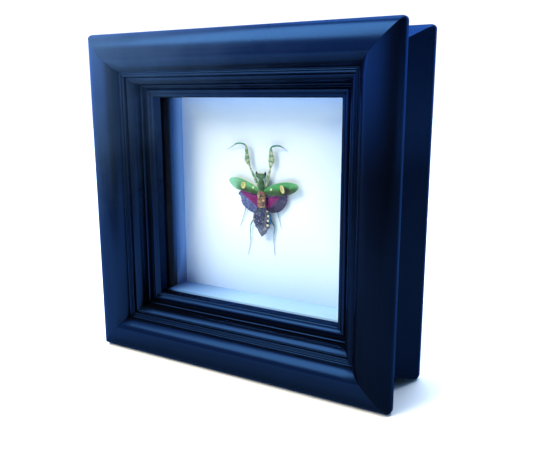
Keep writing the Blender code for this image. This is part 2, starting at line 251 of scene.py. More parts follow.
class Finish(Nodes):
    def __init__(self, name, colour, roughness, **constants):
        self.material = bpy.data.materials.new(name)
        self.material.use_nodes = True
        self.material.diffuse_color = (*colour, 1)
        super().__init__(self.material.node_tree)
        self.shader = self.tree.nodes["Principled BSDF"]
        self.put("Base Color", (*colour, 1))
        self.put("Roughness", roughness)
        for socket, value in constants.items():
            self.put(socket.replace("_", " "), value)

    def put(self, socket, value):
        self.link(value, self.shader.inputs[socket])

    def cover(self, colour, roughness, normal):
        # what changes over the surface
        self.put("Base Color", colour)
        self.put("Roughness", roughness)
        self.put("Normal", normal)
        return self.material

    def place(self):
        return self.node("TexCoord", output="Object")

    def axes(self, vector):
        split = self.node("SeparateXYZ", inputs={0: vector})
        outputs = split.socket.node.outputs
        return [Value(self, outputs[name]) for name in ("X", "Y", "Z")]

    def onBoard(self):
        # across and up from the middle of the white board, in millimetres
        x, _, z = self.axes(self.place())
        return x / mm, (z - middle) / mm

    def stretched(self, scale):
        return self.vectors("MULTIPLY", {0: self.place(), 1: scale})

    def mark(self, name):
        return self.node("Attribute", {"attribute_name": name}, output="Fac")

    def noise(self, size, detail=2.0, roughness=0.5, at=None):
        inputs = {"Vector": at or self.place(), "Scale": 1 / (size * mm), "Detail": detail}
        return self.node("TexNoise", inputs={**inputs, "Roughness": roughness})

    def cells(self, size, at=None, feature="F1"):
        inputs = {"Vector": at or self.place(), "Scale": 1 / (size * mm)}
        return self.node("TexVoronoi", {"feature": feature}, inputs)

    def mix(self, share, first, second, blend="MIX"):
        both = [(*colour, 1) if isinstance(colour, tuple) else colour for colour in (first, second)]
        settings = {"data_type": "RGBA", "blend_type": blend}
        return self.node("Mix", settings, {0: share, 6: both[0], 7: both[1]}, output=2)

    def bump(self, height, depth, strength, under=None):
        inputs = {"Height": height, "Distance": depth * mm, "Strength": strength}
        if under:
            inputs["Normal"] = under
        return self.node("Bump", inputs=inputs)

    def speckles(self, size, low, high):
        return self.rise(self.noise(size, 3.0, 0.6), low, high)

    def mosaic(self, size, colours, wobble=0.8, soft=0.22):
        # small uneven patches, each near one of the colours
        inputs = {"Vector": self.place(), "Scale": 1.6 / (size * mm)}
        jitter = self.node("TexNoise", inputs=inputs, output="Color")
        shift = self.vectors("SCALE", {0: jitter, "Scale": size * mm * wobble})
        at = self.vectors("ADD", {0: self.place(), 1: shift})
        inputs = {"Vector": at, "Scale": 1 / (size * mm), "Smoothness": soft}
        cell = self.node("TexVoronoi", {"feature": "SMOOTH_F1"}, inputs, output="Color")
        pick = self.node("SeparateColor", inputs={0: cell})
        last = len(colours) - 1
        stops = [(0.08 + 0.84 * number / last, shown(*colour)) for number, colour in enumerate(colours)]
        return self.node("ValToRGB", {"stops": stops}, {0: pick})

    def oval(self, place, centre, radii, tilt=0):
        # how far out a place is, 1 on the oval's rim, and its place along the two axes
        x, z = place[0] - centre[0], place[1] - centre[1]
        turn = radians(tilt)
        across, up = x * cos(turn) + z * sin(turn), z * cos(turn) - x * sin(turn)
        return ((across / radii[0]) ** 2 + (up / radii[1]) ** 2) ** 0.5, across, up

    def spotted(self, ground, place, spots, colour):
        # spots are (across, up, radius)
        for across, up, radius in spots:
            reach = ((place[0] - across) ** 2 + (place[1] - up) ** 2) ** 0.5
            ground = self.mix(self.rise(reach, radius * 1.15, radius * 0.7), ground, colour)
        return ground


def shown(red, green, blue):
    # a colour as a screen shows it, 0 to 255, made linear
    return tuple((part / 255 / 12.92) if part < 11 else ((part / 255 + 0.055) / 1.055) ** 2.4
                 for part in (red, green, blue))


# The moulded frame: one rail is modelled and the others are copies, front and back

moulding = {
    "side": 200, "depth": 31.8, "footInset": 8.8, "restFront": 7.2, "restBack": 9.6,
    "crestInset": 12.3, "crestFlat": 1.2, "crownInward": 9.3, "crownDeep": 9.6, "crownEnd": 342,
    "twinBeads": [((22.8, 6.9), (23.95, 7.3)), ((24.2, 7.5), (25.35, 8.0))], "twinRise": 0.75,
    "quirk": [(25.45, 9.4), (25.85, 9.5)], "roll": ((23.5, 14.4), 6.0, 6.0, 294, 360, 24),
    "ridge": ((29.75, 17.2), (31.1, 17.1)), "ridgeRise": 0.95, "stepWall": [(31.3, 18.8), (31.9, 20.0)],
    "innerBead": ((32.1, 19.8), (35.6, 20.0)), "innerRise": 1.1,
    "sightBead": ((35.7, 19.9), (37.3, 21.0)), "sightRise": 0.5, "sightInset": 37.4, "sightLip": 21.2,
    "rabbetInset": 32.0, "rabbetFront": 26.6, "rearCut": 20.5,
    "spacing": 0.22, "paintRounding": 2, "mitreGap": 0.01, "seam": 0.05, "cuts": 16,
    "corner": 2.4, "cornerCuts": 6, "smoothBelow": 32,
}
middle = moulding["side"] / 2 * mm


def arcPoints(centre, inward, deep, start, end, steps=30):
    angles = [radians(start + (end - start) * step / steps) for step in range(steps + 1)]
    return [(centre[0] + inward * cos(angle), centre[1] + deep * sin(angle)) for angle in angles]


def beadPoints(start, end, rise, steps=12):
    run = Vector(end) - Vector(start)
    outwards = Vector((run.y, -run.x)).normalized() * rise
    shares = [step / steps for step in range(steps + 1)]
    return [tuple(Vector(start) + run * share + outwards * sin(pi * share)) for share in shares]


def railFace():
    # (inset, depth) from the foot round the shoulder and in over the beads, the roll and the step
    m = moulding
    points = [(m["footInset"], m["depth"]), (0, m["restBack"])]
    points += arcPoints((m["crestInset"], m["restFront"]), m["crestInset"], m["restFront"], 180, 270)
    crown = (m["crestInset"] + m["crestFlat"], m["crownDeep"])
    points += arcPoints(crown, m["crownInward"], m["crownDeep"], 270, m["crownEnd"])
    for ends in m["twinBeads"]:
        points += beadPoints(*ends, m["twinRise"])
    points += m["quirk"] + arcPoints(*m["roll"]) + beadPoints(*m["ridge"], m["ridgeRise"])
    return points + m["stepWall"]


def evenPoints(points, spacing):
    # walks round the closed outline and sets a point at each step
    loop = points + points[:1]
    found, carried = [], 0.0
    for start, end in zip(loop, loop[1:]):
        run = Vector(end) - Vector(start)
        while carried < run.length:
            found.append(Vector(start) + run.normalized() * carried)
            carried += spacing
        carried -= run.length
    return found


def softened(points, rounds):
    # paint fills the quirks and rounds the edges a little
    for _ in range(rounds):
        count = len(points)
        points = [(points[i - 1] + points[i] * 2 + points[(i + 1) % count]) / 4 for i in range(count)]
    return points


def roundCorner(place):
    # eases a point near the frame's outer corner from the square onto a round
    turn = moulding["corner"] * mm
    centre = Vector((-middle + turn, place.y, turn))
    away = Vector((-abs(place.x), place.y, place.z)) - centre
    if away.x < 0 and away.z < 0:
        away *= max(-away.x, -away.z) / away.length
        rounded = centre + away
        return Vector((rounded.x if place.x < 0 else -rounded.x, place.y, rounded.z))
    return place


def bottomRail(name, outline, faceBack):
    m = moulding
    points = softened(evenPoints(outline, m["spacing"]), m["paintRounding"])
    piece = addRound(name, len(points))
    turn = -1 if faceBack else 1
    for point, (inset, depth) in zip(piece.data.vertices, points):
        point.co = Vector((-m["side"] / 2, turn * (depth - m["depth"]), inset)) * mm
    startEdit(piece)
    corner = [m["corner"] / m["cornerCuts"]] * m["cornerCuts"]
    span = m["side"] - 2 * m["corner"]
    for step in corner + [span / m["cuts"]] * m["cuts"] + corner:
        extrude(step * mm)
    short = middle - (m["mitreGap"] + m["seam"]) * sqrt(2) * mm
    for end in (-1, 1):  # mitre both ends, a seam's depth short
        selectAll()
        bpy.ops.mesh.bisect(plane_co=(end * short, 0, 0), plane_no=(end, 0, 1), clear_outer=True,
                            use_fill=True)
    faceOutwards()
    pickFaces(piece, lambda normal: abs(normal.x) > 0.6)  # the two mitres
    bpy.ops.mesh.inset(thickness=m["seam"] * mm, depth=m["seam"] * mm)  # leaves a fine groove at the mitre
    endEdit()
    for point in piece.data.vertices:
        point.co = roundCorner(point.co)
    return piece


def quarterTurn(count):
    centre = Matrix.Translation((0, 0, middle))
    return centre @ Matrix.Rotation(count * pi / 2, 4, "Y") @ centre.inverted()


def makeRails(finishes):
    m = moulding
    inner = beadPoints(*m["innerBead"], m["innerRise"]) + beadPoints(*m["sightBead"], m["sightRise"])
    sight = [(m["sightInset"], m["sightLip"]), (m["sightInset"], m["rabbetFront"])]
    rabbet = [(m["rabbetInset"], m["rabbetFront"]), (m["rabbetInset"], m["depth"])]
    rearEnd = [(m["rabbetInset"], m["rearCut"]), (m["rabbetInset"], m["depth"])]
    outlines = {"front": railFace() + inner + sight + rabbet, "back": railFace() + rearEnd}
    for row, outline in outlines.items():
        bottom = bottomRail(row + "BottomRail", outline, row == "back")
        for count, side in ((1, "left"), (2, "top"), (3, "right"), (0, "bottom")):
            made = copyPiece(bottom, f"{row}{side.title()}Rail", quarterTurn(count)) if count else bottom
            finishPiece(made, f"{row}_rail_{side}", finishes[count % 2], m["smoothBelow"])
        print(row, "rails made, each with", len(bottom.data.polygons), "faces")


paintLook = {
    # paintedLight is the paler base colour painted toward the upper left as light
    "deep": (0.0009, 0.0012, 0.0022), "paintedLight": (0.032, 0.060, 0.105), "paintedLightFrom": (0.48, 1.3),
    "mirror": (0.086, 0.305, 1.0, 1), "roughness": 0.21, "grazing": 0.22,
    # painted highlight and shade: the mirror's share at the low and the far end of a rail, more of it high
    # up, and less on undersides
    "across": (0.028, 0.048), "upright": (0.031, 0.008), "paintedHighGloss": (0.60, 0.90, 0.065), "paintedUndersideShade": 0.5,
    "shadedOuterSide": (66, 84), "shadedOuterShare": 0.7, "cloudShare": 0.14, "strokeShare": 0.1,
    "strokes": (500, 12, 1.6), "peel": 1.1, "cloud": 30, "wave": 16, "dust": 6.5,
}


def satinPaint(name, lengthwise, gloss):
    # a deep black satin that mirrors in blue, with a pale painted highlight that grows to the upper left,
    # where the light falls
    look = paintLook
    paint = Finish(name, look["deep"], 0.5, Specular_IOR_Level=0.0)
    around, along, scale = look["strokes"]
    stroke = [around] * 3
    stroke[lengthwise] = along
    brushed = {"Vector": paint.stretched(stroke), "Scale": scale, "Detail": 3.0}
    strokes = paint.node("TexNoise", inputs=brushed)
    peel = paint.noise(look["peel"], 2.0, 0.5)
    cloud = paint.noise(look["cloud"], 3.0, 0.6)
    dust = paint.rise(paint.cells(look["dust"]), 0.045, 0.02)
    x, _, z = paint.axes(paint.place())
    upwards, rightwards = z / (2 * middle), 0.5 + x / (2 * middle)
    # painted highlight: the base colour is paler toward the upper left of the frame
    paintedLight = paint.rise(upwards - rightwards * 0.8 + cloud * 0.3 + strokes * 0.1, *look["paintedLightFrom"])
    wave = paint.bump(paint.noise(look["wave"], 1.0, 0.4), 0.12, 0.5)
    normal = paint.bump(strokes * 0.4 + peel * 0.6, 0.01, 0.5, wave)
    rough = look["roughness"] + cloud * 0.05 + strokes * 0.04 + dust * 0.15
    paint.put("Base Color", paint.mix(paintedLight, look["deep"], look["paintedLight"]))
    paint.put("Normal", normal)
    mirrored = {"Color": look["mirror"], "Roughness": rough, "Normal": normal}
    mirror = paint.node("BsdfAnisotropic", inputs=mirrored)

    # painted shade and highlight: the mirror's share grows upward and to the left, and falls on the right
    # rail's outer side and on undersides
    share = look["shadedOuterShare"]
    outer = rightwards * (1 - share) + paint.rise(x / mm, *look["shadedOuterSide"]) * share
    reach = outer if lengthwise else upwards
    low, high, more = look["paintedHighGloss"]
    paintedHighGloss = paint.rise(upwards, low, high) * more if lengthwise else 0.0
    _, _, lean = paint.axes(paint.node("NewGeometry", output="Normal"))
    shadedUnderside = paint.rise(lean, -0.05, -0.5) * look["paintedUndersideShade"]
    reach = reach + cloud * look["cloudShare"] + strokes * look["strokeShare"] - 0.12
    level = gloss[0] + reach * (gloss[1] - gloss[0]) + paintedHighGloss
    facing = paint.node("LayerWeight", inputs={"Blend": 0.5}, output="Facing")
    share = level * (1 - shadedUnderside) + facing ** 5 * look["grazing"]
    paint.showBlend(share, Value(paint, paint.shader.outputs["BSDF"]), mirror)
    return paint.material


makeRails([satinPaint("satinPaintAcross", 0, paintLook["across"]),
           satinPaint("satinPaintUpright", 2, paintLook["upright"])])


# The boards of the box, the glass and the points that hold them in

boards = {
    "cardEdge": 0.1, "cardGap": 0.02, "boardEdge": 0.4, "glassEdge": 0.15,
    "pointEdge": 0.12, "pointTip": 0.5, "pointSmooth": 30, "smoothBelow": 40,
    "white": (0.82, 0.86, 0.92), "cloud": (0.86, 0.9, 0.94),
    # (white, shade, paintedShadowFades) of the cards with painted shadow, darker and bluer where the
    # frame's shadow falls; the wall and sill colours are painted shade, and the black strip's blue rear is
    # painted light
    "board": ((0.86, 0.89, 0.93), (0.40, 0.57, 0.86),
              [(0, -74, -44), (2, -6, 110), (2, 169, 147), (0, 96, 20)]),
    "wall": ((0.24, 0.45, 0.84), (0.026, 0.085, 0.27), [(1, 5, 17), (2, 34, 72)]),
    "strip": ((0.03, 0.10, 0.30), (0.001, 0.003, 0.009), [(1, 2, 7), (2, 36, 90)]),
    "paintedShadeSill": ((0.38, 0.58, 0.84), (0.07, 0.20, 0.50), [(0, -68, 0)]),
    "brown": ((0.09, 0.045, 0.022), (0.24, 0.14, 0.08)), "weave": 1.4,
    "black": ((0.0015, 0.003, 0.009), (0.004, 0.008, 0.018)),
    "steel": (0.48, 0.49, 0.5), "rust": (0.2, 0.13, 0.09), "clear": (0.965, 0.985, 0.99, 1),
}
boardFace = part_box("mount_board")[0].y


def cutBoard(node, name, material, edge, backFace=None):
    low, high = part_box(node)
    high.y = backFace or high.y
    bpy.ops.mesh.primitive_cube_add(size=1, location=(low + high) / 2, scale=high - low)
    piece = nameNew(name)
    bpy.ops.object.transform_apply(location=True, rotation=True, scale=True)
    startEdit(piece)
    bpy.ops.mesh.bevel(offset=edge * mm, segments=3, affect="EDGES")
    endEdit()
    finishPiece(piece, node, material, boards["smoothBelow"])


def cardFinish(name, white, shade, paintedShadowFades):
    # a card with a fine tooth and painted shadow; a fade is (axis, from, to), from its shaded end to its
    # white one
    card = Finish(name, white, 0.75, Specular_IOR_Level=0.1)
    fibre = card.noise(0.22, 4.0, 0.65)
    cloud = card.noise(30, 2.0, 0.5)
    places = card.axes(card.place())
    paintedShadowShare = 0.0
    # painted shadow: the colour runs from white to shade toward each shaded end
    for axis, start, end in paintedShadowFades:
        run = places[axis] / mm + cloud * 1.5
        paintedShadowShare = card.maths("MAXIMUM", paintedShadowShare, 1 - card.rise(run, start, end))
    colour = card.mix(cloud * 0.4, card.mix(paintedShadowShare, white, shade), boards["cloud"], "MULTIPLY")
    return card.cover(colour, 0.68 + fibre * 0.15, card.bump(fibre, 0.02, 0.5))


def brownBoard():
    board = Finish("brownBoard", (0.16, 0.09, 0.05), 0.8)
    x, _, z = board.axes(board.place())
    turns = 2 * pi / (boards["weave"] * mm)
    weave = board.maths("SINE", x * turns) * board.maths("SINE", z * turns)
    fibre = board.noise(0.8, 5.0, 0.7)
    fleck = board.noise(5, 3.0, 0.6)
    colour = board.mix(board.rise(fibre * 0.6 + fleck * 0.4, 0.3, 0.7), *boards["brown"])
    return board.cover(colour, 0.7 + fibre * 0.25, board.bump(weave * 0.5 + fibre, 0.15, 0.7))


def clearGlass():
    glass = Finish("clearGlass", (0.9, 0.95, 0.97), 0.02)
    smear = glass.noise(35, 3.0, 0.6)
    gloss = glass.node("BsdfAnisotropic", inputs={"Color": (1, 1, 1, 1), "Roughness": 0.02})
    through = glass.node("BsdfTransparent", inputs={"Color": boards["clear"]})
    edge = glass.node("Fresnel", inputs={"IOR": 1.38})
    glass.showBlend(edge * 0.08 + glass.rise(smear, 0.6, 0.9) * 0.003, through, gloss)
    return glass.material


def steelFinish():
    steel = Finish("steel", (0.45, 0.46, 0.47), 0.35, Metallic=1.0)
    grain = steel.noise(0.3, 3.0, 0.6, steel.stretched((1, 1, 8)))
    spot = steel.rise(steel.noise(1.5, 3.0, 0.6), 0.55, 0.7)
    colour = steel.mix(spot, boards["steel"], boards["rust"])
    return steel.cover(colour, 0.28 + grain * 0.2 + spot * 0.25, steel.bump(grain, 0.01, 0.5))


def blackCard():
    card = Finish("blackCard", (0.002, 0.004, 0.01), 0.5, Specular_Tint=(0.2, 0.5, 1.0, 1),
                  Specular_IOR_Level=0.15)
    fibre = card.noise(0.3, 4.0, 0.65)
    return card.cover(card.mix(fibre, *boards["black"]), 0.42 + fibre * 0.15, card.bump(fibre, 0.02, 0.4))


def makePoints(material):
    # flat diamonds of sheet steel, each with its tip pressed into the rail
    low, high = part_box("backing_point_1")
    width, thickness, length = high - low
    first = addRound("backingPoint1", 4, 0.5)
    first.data.transform(Matrix.Rotation(pi / 2, 4, "X") @ Matrix.Diagonal((width, length, 1, 1)))
    startEdit(first)
    bpy.ops.mesh.bevel(offset=boards["pointTip"] * mm, segments=3, affect="VERTICES")
    extrude(y=thickness)
    faceOutwards()
    bpy.ops.mesh.bevel(offset=boards["pointEdge"] * mm, segments=2, affect="EDGES")
    endEdit()
    first.data.transform(Matrix.Translation((0, -thickness / 2, 0)))
    for number in range(1, 9):
        low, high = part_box(f"backing_point_{number}")
        lies = high.x - low.x > high.z - low.z
        turn = Matrix.Rotation(pi / 2 if lies else 0, 4, "Y")
        made = copyPiece(first, f"backingPoint{number}", Matrix.Translation((low + high) / 2) @ turn)
        finishPiece(made, f"backing_point_{number}", material, boards["pointSmooth"])
    bpy.data.objects.remove(first, do_unlink=True)


white = cardFinish("whiteCard", boards["white"], boards["white"], [])
# painted shade on the left wall, the sill, the left strip and the board, from the cards' shade colours
cards = {"Left": cardFinish("paintedShadeWallCard", *boards["wall"]),
         "Bottom": cardFinish("paintedShadeSillCard", *boards["paintedShadeSill"])}
strips = {"Left": cardFinish("stripCard", *boards["strip"])}
black = blackCard()
paintedShadowBoardCard = cardFinish("paintedShadowBoardCard", *boards["board"])
cutBoard("mount_board", "mountBoard", paintedShadowBoardCard, boards["boardEdge"])
cutBoard("backing_board", "backingBoard", brownBoard(), boards["boardEdge"])
cutBoard("glass_pane", "glassPane", clearGlass(), boards["glassEdge"])
for side in ("Top", "Bottom", "Left", "Right"):
    cutBoard(f"white_wall_{side.lower()}", f"whiteWall{side}", cards.get(side, white),
             boards["cardEdge"], boardFace - boards["cardGap"] * mm)
for side in ("Top", "Left", "Right"):
    cutBoard(f"spacer_{side.lower()}", f"spacer{side}", strips.get(side, black),
             boards["cardEdge"])
makePoints(steelFinish())
print("boards, glass and points made")


# The mantis: places on it are (across, height, up) in millimetres from the middle of the white board

def onBoard(x, height, z):
    return Vector((x * mm, boardFace - height * mm, middle + z * mm))


def shapePoints(piece, change):
    # moves each point, with a function of its place on the board
    for point in piece.data.vertices:
        x, y, z = point.co
        point.co = onBoard(*change(Vector((x / mm, (boardFace - y) / mm, (z - middle) / mm))))


def through(table, share):
    # a smooth value through a table of (share, value) pairs
    for (low, lowValue), (high, highValue) in zip(table, table[1:]):
        if share <= high:
            part = (share - low) / (high - low)
            return lowValue + (highValue - lowValue) * (1 - cos(pi * part)) / 2
    return table[-1][1]


def bulge(value, middleValue, width, height=1.0):
    return height * exp(-((value - middleValue) / width) ** 2)


def roughness(x, z, size, seed=0.0):
    return noise.noise(Vector((x, z, seed)) / size)


def ringAt(place, run, width, thickness):
    # carries a round of radius 1 to an oval across the limb
    run = run.normalized()
    across = run.cross(Vector((0, -1, 0))).normalized()
    ring = Matrix.Identity(4)
    ring.col[0] = (*(across * (width / 2 * mm)), 0)
    ring.col[1] = (*(across.cross(run) * (thickness / 2 * mm)), 0)
    ring.col[2] = (*(run * mm), 0)
    ring.col[3] = (*place, 1)
    return ring


def growRings(name, rings, sides, along=None):
    # a round on the first ring is extruded from each ring to the next, and the whole is rounded off
    piece = addRound(name, sides)
    startEdit(piece)
    before = Matrix.Identity(4)
    for number, ring in enumerate(rings):
        if number:
            extrude()
        movePicked(piece, ring @ before.inverted(), along and along[number])
        before = ring
    endEdit()
    turnOutwards(piece)
    addModifier(piece, "SUBSURF", levels=2, render_levels=2)
    return piece


def growLimb(name, stations, sides):
    # a station is (across, height, up, width, thickness), and one ring of the limb stands at each
    places = [onBoard(*station[:3]) for station in stations]
    last = len(places) - 1
    travelled = [0.0]
    for before, after in zip(places, places[1:]):
        travelled.append(travelled[-1] + (after - before).length)
    rings = []
    for number, station in enumerate(stations):
        run = places[min(number + 1, last)] - places[max(number - 1, 0)]
        rings.append(ringAt(places[number], run, *station[3:]))
    return growRings(name, rings, sides, [length / travelled[-1] for length in travelled])


def addThorns(piece, thorns, sides=5, hook=0.12):
    # a thorn is (root, tip, radius): a tapering point with a slight hook
    for root, tip, radius in thorns:
        root, tip = onBoard(*root), onBoard(*tip)
        run = tip - root
        bpy.ops.mesh.primitive_cone_add(vertices=sides, radius1=radius * mm, radius2=radius * 0.1 * mm,
                                        depth=run.length)
        thorn = bpy.context.object
        startEdit(thorn)
        bpy.ops.mesh.subdivide(number_cuts=1)
        endEdit()
        for point in thorn.data.vertices:
            point.co.y += hook * run.length * (0.5 + point.co.z / run.length) ** 2
        turn = run.to_track_quat("Z", "Y").to_matrix().to_4x4()
        thorn.data.transform(Matrix.Translation((root + tip) / 2) @ turn)
        joinTo(piece, [thorn])


bodySmooth = 60  # degrees, below which the specimen's edges are smooth


# Head: a broad wedge with a pointed eye at each side

head = {
    # (across, up, width, thickness) from the tip of an eye inwards
    "half": [
        (3.0, 18.05, 0.2, 0.25), (3.07, 17.6, 0.75, 0.7), (3.12, 17.1, 1.3, 1.2), (3.0, 16.5, 1.9, 1.75),
        (2.65, 15.95, 2.5, 2.1), (2.1, 15.45, 3.1, 2.2), (1.5, 15.1, 3.4, 2.0), (0.9, 14.95, 3.6, 2.0),
        (0.45, 14.9, 3.8, 2.1),
    ],
    "middle": (14.85, 4.0, 2.15), "height": 4.1, "shift": -0.2,
    "horns": [((-0.2, 4.5, 16.2), (-0.2, 4.8, 17.3), 0.3), ((-0.9, 4.4, 16.3), (-1.2, 4.6, 17.1), 0.2),
              ((0.5, 4.4, 16.3), (0.8, 4.6, 17.1), 0.2)],
    "jaw": [(-0.2, 3.2, 14.9, 2.6, 1.0), (-0.2, 2.7, 15.6, 2.0, 1.0), (-0.2, 2.3, 16.2, 1.1, 0.8),
            (-0.2, 2.1, 16.6, 0.5, 0.5)],
    "neck": [(-0.15, 3.9, 14.2, 2.6, 1.7), (-0.1, 3.9, 13.0, 2.5, 1.7), (0.0, 3.9, 11.8, 2.6, 1.7)],
    "ocelli": [(-0.2, 5.05, 15.6), (-0.6, 5.0, 15.25), (0.2, 5.0, 15.25)], "ocellus": 0.14,
    "shell": [(16, 46, 34), (48, 112, 50), (24, 70, 44), (64, 124, 66), (60, 52, 40)], "patch": 0.8,
    "fleck": shown(150, 156, 110), "eye": shown(8, 40, 40), "eyeFrom": (1.9, 2.4), "eyeUp": (15.2, 16.2),
}


def makeHead(material):
    shift, height = head["shift"], head["height"]
    right = [(x + shift, height, z, width, thick) for x, z, width, thick in head["half"]]
    left = [(2 * shift - x, *rest) for x, *rest in reversed(right)]
    piece = growLimb("mantisHead", right + [(shift, height, *head["middle"])] + left, 12)
    parts = [growLimb("jaw", head["jaw"], 8), growLimb("neck", head["neck"], 10)]
    for place in head["ocelli"]:
        bpy.ops.mesh.primitive_uv_sphere_add(segments=10, ring_count=6, radius=head["ocellus"] * mm,
                                             location=onBoard(*place))
        bpy.ops.object.transform_apply(location=True)
        parts.append(bpy.context.object)
    joinTo(piece, parts)
    addThorns(piece, head["horns"], 7)
    finishPiece(piece, "mantis_head", material, bodySmooth)


def headFinish():
    green = Finish("mossGreenShell", (0.05, 0.14, 0.04), 0.42)
    x, z = green.onBoard()
    eye = green.rise(abs(x + 0.35), *head["eyeFrom"]) * green.rise(z, *head["eyeUp"])
    colour = green.mosaic(head["patch"], head["shell"])
    colour = green.mix(green.speckles(0.5, 0.62, 0.7), colour, head["fleck"])
    height = green.cells(0.16) * eye + green.noise(0.35, 3.0)
    rough = 0.45 - eye * 0.22
    return green.cover(green.mix(eye, colour, head["eye"]), rough, green.bump(height, 0.03, 0.7))


# Thorax: the short shield behind the head, then the part that bears the wings

thorax = {
    "rings": [
        (0.0, 3.9, 13.4, 2.0, 1.2), (0.0, 4.0, 12.8, 3.0, 1.7), (0.0, 4.0, 12.0, 3.7, 2.1),
        (0.0, 4.0, 11.0, 4.3, 2.4), (0.0, 4.0, 10.0, 4.6, 2.5), (0.0, 4.0, 9.2, 4.5, 2.5),
        (0.0, 4.0, 8.4, 4.3, 2.4), (0.0, 4.0, 7.4, 4.1, 2.35), (0.0, 4.0, 6.6, 4.2, 2.4),
        (0.0, 4.0, 6.2, 4.0, 2.3), (0.0, 3.9, 5.8, 4.6, 2.5), (0.1, 3.9, 4.9, 5.9, 2.9),
        (0.2, 3.9, 3.6, 6.5, 3.2), (0.2, 3.9, 2.4, 6.3, 3.1), (0.2, 3.9, 1.6, 6.0, 2.9),
        (0.2, 3.9, 1.0, 6.0, 3.0), (0.2, 3.9, -0.2, 6.5, 3.1), (0.2, 3.9, -1.4, 6.6, 3.0),
        (0.2, 3.9, -2.6, 6.3, 2.7), (0.3, 4.0, -3.8, 6.0, 2.4), (0.35, 4.1, -5.0, 6.2, 2.2),
    ],
    # (place, breadth, rise) of the ridge and of the furrows across, above a level
    "level": 4.0, "ease": 0.6,
    "keel": (0.0, 0.4, 0.3), "groove": (9.4, 0.35, -0.22), "seam": (1.3, 0.3, -0.25),
    "grain": 0.09, "grainSize": 0.55,
    "warts": 7, "wartTop": 12.4, "wartStep": 0.85, "wartEdge": [(6.5, 2.0), (9.6, 2.22), (12.6, 1.6)],
    "wartRoot": (0.93, 4.15), "wartTip": (1.16, 4.25), "wartStray": 0.1, "wartLean": 0.15, "wart": 0.13,
    "shield": [(18, 42, 36), (52, 112, 58), (30, 78, 48), (84, 56, 44), (70, 132, 80), (22, 52, 44)],
    "flesh": [(64, 22, 34), (198, 172, 120), (110, 34, 66), (42, 50, 30), (176, 136, 98), (40, 18, 32),
              (128, 52, 74)],
    "margin": [(168, 150, 140), (60, 110, 80)], "flank": [(140, 84, 116), (66, 40, 70), (156, 138, 126)],
    "fleck": shown(214, 196, 158),
    "shieldFrom": (5.9, 7.2), "marginFrom": (1.75, 2.2), "flankFrom": (2.2, 3.0),
}


def makeThorax(material):
    t = thorax
    piece = growLimb("mantisThorax", t["rings"], 12)

    def carve(place):
        if place.y > t["level"]:
            rise = bulge(place.x, *t["keel"]) + bulge(place.z, *t["groove"]) + bulge(place.z, *t["seam"])
            rise += t["grain"] * roughness(place.x, place.z, t["grainSize"])
            place.y += rise * min((place.y - t["level"]) / t["ease"], 1)
        return place

    shapePoints(piece, carve)
    rim = Random(4)
    (rootOut, rootHeight), (tipOut, tipHeight), stray = t["wartRoot"], t["wartTip"], t["wartStray"]
    warts = []
    for side in (-1, 1):
        for number in range(t["warts"]):
            z = t["wartTop"] - number * t["wartStep"]
            x = side * through(t["wartEdge"], z)
            tip = (x * tipOut, tipHeight + rim.uniform(-stray, stray), z + t["wartLean"])
            warts.append(((x * rootOut, rootHeight, z), tip, t["wart"]))
    addThorns(piece, warts)
    finishPiece(piece, "mantis_thorax", material, bodySmooth)


def thoraxFinish():
    t = thorax
    shell = Finish("speckledThorax", (0.2, 0.12, 0.12), 0.5, Specular_IOR_Level=0.25)
    x, z = shell.onBoard()
    shield = shell.rise(z + shell.noise(1.2, 2.0) * 1.4, *t["shieldFrom"])
    margin = shell.rise(abs(x), *t["marginFrom"])
    dark = shell.mix(margin * 0.6, shell.mosaic(0.85, t["shield"]), shell.mosaic(0.7, t["margin"]))
    flesh = shell.mix(shell.speckles(0.4, 0.6, 0.68), shell.mosaic(0.9, t["flesh"]), t["fleck"])
    flank = shell.rise(abs(x - 0.2), *t["flankFrom"])
    flesh = shell.mix(flank * 0.7, flesh, shell.mosaic(0.6, t["flank"]))
    rough = 0.42 + shell.noise(0.8, 2.0) * 0.2
    return shell.cover(shell.mix(shield, flesh, dark), rough, shell.bump(shell.noise(0.3, 3.0), 0.04, 0.7))


# Abdomen: a flat leaf of seven segments, each with a lobe at its hind corners

abdomen = {
    "top": -4.4, "tip": -22.9, "segments": 7, "ringsEach": 4, "height": 4.3,
    "outline": [(0, 5.6), (0.09, 9.4), (0.17, 11.4), (0.3, 12.8), (0.46, 12.6), (0.62, 10.5), (0.82, 5.8),
                (1, 0.7)],
    "centreLine": [(0, 0.4), (0.3, 0.75), (0.75, 0.8), (1, 0.4)],
    "creamSpots": [(5.4, -9.2, 0.72), (5.2, -12.2, 0.75), (4.9, -15.1, 0.8), (4.7, -6.4, 0.45)],
    "paleSpots": [(-5.0, -12.0, 0.5), (-4.7, -15.5, 0.5), (-4.6, -9.0, 0.35), (2.0, -18.2, 0.4),
                  (3.4, -17.6, 0.4)],
    "lobe": 1.15, "thickness": 2.5, "thinning": 0.75, "step": 0.16, "keel": (0.7, 0.5, 0.28),
    "grain": 0.1, "grainSize": 0.5, "ease": 0.5,
    "cercusRoot": (0.5, 4.1, -20.8), "cercusTip": (0.9, 4.0, -22.6), "cercus": 0.2, "cerciMiddle": 0.5,
    "patches": [(8, 20, 52), (68, 70, 108), (18, 34, 74), (40, 46, 56), (10, 24, 62), (90, 92, 124),
                (22, 36, 80)],
    "pale": shown(124, 130, 156), "dust": shown(150, 146, 138), "soot": shown(18, 34, 34),
    "rightRim": shown(32, 88, 134), "leftRim": shown(70, 84, 124), "seam": shown(24, 26, 52),
    "cream": shown(226, 214, 160), "pink": shown(186, 150, 160), "line": shown(170, 146, 118),
}


